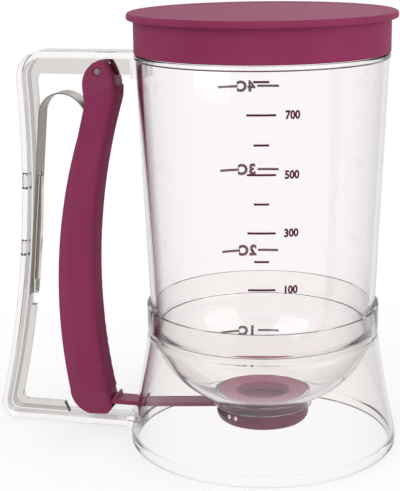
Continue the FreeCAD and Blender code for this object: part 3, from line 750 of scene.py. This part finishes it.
class DISPENSER_OT_valve(bpy.types.Operator):
    """Sliding gate with its rod, outlet seal and twist cap."""
    bl_idname = "dispenser.valve"
    bl_label = "Valve"

    def execute(self, context):
        rod = moulded_plastic("rod_plastic", colours().maroon, 0.32)
        gate = from_frame("gate_slide", sizes().soft_edge)
        dress("gate_slide", gate, "gate_and_rod", "gate_body", "maroon_plastic", rod)
        shell = moulded_plastic("cap_plastic", colours().valve, 0.34)
        dress("valve_cap", self.make_cap(), "twist_cap", "cap_body", "valve_plastic", shell)
        self.make_seal()
        return {"FINISHED"}

    def make_cap(self):
        """Turned twist cap with its nozzle, bayonet lugs and the window for the gate."""
        count = sizes().segments
        cap = turned(metres(CAP_SIDE), count)
        cut_away(cap, turned(metres(CAP_WINDOW), count, CAP_WINDOW_MIDDLE, CAP_WINDOW_SPAN))
        soften(cap, sizes().soft_edge)
        return joined([cap] + lugs(CAP_LUG, count))

    def make_seal(self):
        """Seal with softened edges."""
        s = sizes()
        soft = s.seal_flange / 5
        step = SEAL_HIGH.z - s.seal_flange
        profile = [(s.seal_bore, SEAL_LOW.z + soft), (s.seal_bore + soft, SEAL_LOW.z)]
        profile += [(s.seal_boss - soft, SEAL_LOW.z), (s.seal_boss, SEAL_LOW.z + soft), (s.seal_boss, step)]
        profile += [(SEAL_HIGH.x, step), (SEAL_HIGH.x, SEAL_HIGH.z - soft), (SEAL_HIGH.x - soft, SEAL_HIGH.z)]
        profile += [(s.seal_bore + 2 * soft, SEAL_HIGH.z), (s.seal_bore, SEAL_HIGH.z - 2 * soft)]
        material = silicone("seal_silicone", colours().silicone)
        seal = turned(profile, s.segments)
        dress("outlet_seal", seal, "outlet_seal_ring", "root", "seal_silicone", material)


class DISPENSER_OT_scales(bpy.types.Operator):
    """Printed volume scales: plain lines and numbers on the front and the back of the wall."""
    bl_idname = "dispenser.scales"
    bl_label = "Printed scales"

    def execute(self, context):
        dark = ink("millilitre_ink", colours().ink)
        place(joined(self.millilitre_marks()), "millilitre_scale", "root", "clear_plastic", dark)
        # The back print's ink is brightened as painted light
        maroon = ink("cup_ink_painted_light", colours().cup_ink_painted_light)
        place(joined(self.cup_marks()), "cup_scale", "root", "clear_plastic", maroon)
        pale = ink("ring_mark_ink", colours().pale_ink)
        place(joined(self.cap_marks()), "ring_marks", "cap_body", "valve_plastic", pale)
        return {"FINISHED"}

    def millilitre_marks(self):
        """Lines on the front, with a number beside every second one."""
        s = sizes()
        heights = [ML_FIRST_HEIGHT + index * ML_STEP_HEIGHT for index in range(len(ML_NUMBERS) - 1)]
        marks = []
        for text, height in zip(ML_NUMBERS, heights + [ML_TOP_HEIGHT]):
            span = ML_LONG_SPAN if text else ML_SHORT_SPAN
            marks.append(printed_line(ML_LINES_AT, span, height, s.mark_thickness))
            if text:
                marks.append(printed_text(text, s.number_height, SMALL_LETTERS, ML_NUMBERS_AT, height))
        return marks

    def cup_marks(self):
        """Numbers on the back, each between two lines."""
        s = sizes()
        marks = []
        for text, height in CUP_MARKS.items():
            marks.append(printed_text(text, s.cup_number_height, CUP_LETTERS, CUP_NUMBERS_AT, height))
            for azimuth, span in CUP_LINES:
                marks.append(printed_line(azimuth, span, height, s.cup_mark_thickness))
        return marks

    def cap_marks(self):
        """Two small rings on the side of the twist cap."""
        size = sizes().ring_mark_height
        return [printed_text("o", size, SMALL_LETTERS, azimuth, height, lambda level: CAP_HIGH.y)
                for azimuth, height in CAP_MARKS]


class DISPENSER_OT_stage(bpy.types.Operator):
    """Pale floor, soft light, white background and camera."""
    bl_idname = "dispenser.stage"
    bl_label = "Stage"

    def execute(self, context):
        self.make_floor()
        self.make_world(context.scene)
        self.make_lamps()
        self.make_camera(context.scene)
        context.scene.view_settings.view_transform = "Standard"
        return {"FINISHED"}

    def seen(self, graph):
        """One where a camera, glossy or transmission ray looks, and zero for light."""
        rays = [graph.node("LightPath", output=kind)
                for kind in ("Is Camera Ray", "Is Glossy Ray", "Is Transmission Ray")]
        return rays[0] + rays[1] + rays[2]

    def make_floor(self):
        """Pale paper that looks white but keeps the object's shadow."""
        select_only(None)
        bpy.ops.mesh.primitive_plane_add(size=FLOOR_SIZE, location=(0, 0, -FLOOR_DROP))
        floor = bpy.context.object
        floor.name = "floor"
        finish = Finish("floor_paper")
        paper = finish.node("BsdfDiffuse", sockets={"Color": colours().floor})
        glow = finish.node("Emission", sockets={"Color": (1, 1, 1), "Strength": 1.0})
        spot = finish.node("TexCoord", output="Object")
        reach = finish.node("VectorMath", {"operation": "LENGTH"}, {0: spot}, output="Value")
        fade = finish.node("MapRange", {"interpolation_type": "SMOOTHSTEP"},
                           {"Value": reach, "From Min": GLOW_NEAR, "From Max": GLOW_FAR,
                            "To Min": FLOOR_GLOW, "To Max": 1.0})
        share = self.seen(finish) * fade
        both = finish.node("MixShader", sockets={0: share, 1: paper, 2: glow})
        finish.node("OutputMaterial", sockets={"Surface": both})
        floor.data.materials.append(finish.material)

    def make_world(self, scene):
        """Even light all round, and plain white where it is looked at."""
        world = bpy.data.worlds.new("soft_world")
        scene.world = world
        world.use_nodes = True
        graph = Graph(world.node_tree)
        light = graph.node("Background", sockets={"Color": (1, 1, 1), "Strength": WORLD_LIGHT})
        white = graph.node("Background", sockets={"Color": (1, 1, 1), "Strength": 1.0})
        both = graph.node("MixShader", sockets={0: self.seen(graph), 1: light, 2: white})
        graph.node("OutputWorld", sockets={"Surface": both})

    def make_lamps(self):
        """Three soft area lamps that point at the object."""
        for name, (spot, size, power) in LAMPS.items():
            select_only(None)
            bpy.ops.object.light_add(type="AREA", location=spot)
            lamp = bpy.context.object
            lamp.name = name + "_lamp"
            lamp.data.size = size
            lamp.data.energy = power
            aim = Vector(LAMP_AIM) - Vector(spot)
            lamp.rotation_euler = aim.to_track_quat("-Z", "Y").to_euler()

    def make_camera(self, scene):
        """Camera in front of the object, a little above it."""
        select_only(None)
        bpy.ops.object.camera_add()
        camera = bpy.context.object
        forward = Vector((math.sin(CAMERA_YAW) * math.cos(CAMERA_PITCH),
                          math.cos(CAMERA_YAW) * math.cos(CAMERA_PITCH), -math.sin(CAMERA_PITCH)))
        level = Vector((math.cos(CAMERA_YAW), -math.sin(CAMERA_YAW), 0))
        rise = level.cross(forward)
        right = math.cos(CAMERA_ROLL) * level + math.sin(CAMERA_ROLL) * rise
        up = math.cos(CAMERA_ROLL) * rise - math.sin(CAMERA_ROLL) * level
        aim = Matrix((right, up, -forward)).transposed().to_4x4()
        turn = Matrix.Rotation(HANDLE_TURN, 4, "Z")
        camera.matrix_world = Matrix.Translation(CAMERA_PLACE) @ turn @ aim
        camera.data.sensor_width = CAMERA_SENSOR
        camera.data.sensor_fit = "AUTO"
        camera.data.lens = CAMERA_LENS
        scene.camera = camera


OPERATORS = (DISPENSER_OT_clear_mouldings, DISPENSER_OT_lid, DISPENSER_OT_trigger, DISPENSER_OT_spring,
             DISPENSER_OT_valve, DISPENSER_OT_scales, DISPENSER_OT_stage)


class DISPENSER_PT_panel(bpy.types.Panel):
    """Buttons for the dispenser's pieces and its settings."""
    bl_idname = "DISPENSER_PT_panel"
    bl_label = "Batter dispenser"
    bl_space_type = "VIEW_3D"
    bl_region_type = "UI"
    bl_category = "Dispenser"

    def draw(self, context):
        for operator in OPERATORS:
            self.layout.operator(operator.bl_idname)
        for group in (context.scene.dispenser_sizes, context.scene.dispenser_colours):
            box = self.layout.box()
            for key in group.__annotations__:
                box.prop(group, key)


CLASSES = (DispenserSizes, DispenserColours, *OPERATORS, DISPENSER_PT_panel)


def register():
    """Register the classes and their settings."""
    for item in CLASSES:
        bpy.utils.register_class(item)
    bpy.types.Scene.dispenser_sizes = PointerProperty(type=DispenserSizes)
    bpy.types.Scene.dispenser_colours = PointerProperty(type=DispenserColours)


def unregister():
    """Remove the settings and the classes."""
    del bpy.types.Scene.dispenser_colours
    del bpy.types.Scene.dispenser_sizes
    for item in reversed(CLASSES):
        bpy.utils.unregister_class(item)


def main():
    """Build every piece."""
    register()
    bpy.ops.dispenser.clear_mouldings()
    bpy.ops.dispenser.lid()
    bpy.ops.dispenser.trigger()
    bpy.ops.dispenser.spring()
    bpy.ops.dispenser.valve()
    bpy.ops.dispenser.scales()
    bpy.ops.dispenser.stage()


if __name__ == "__main__":
    main()
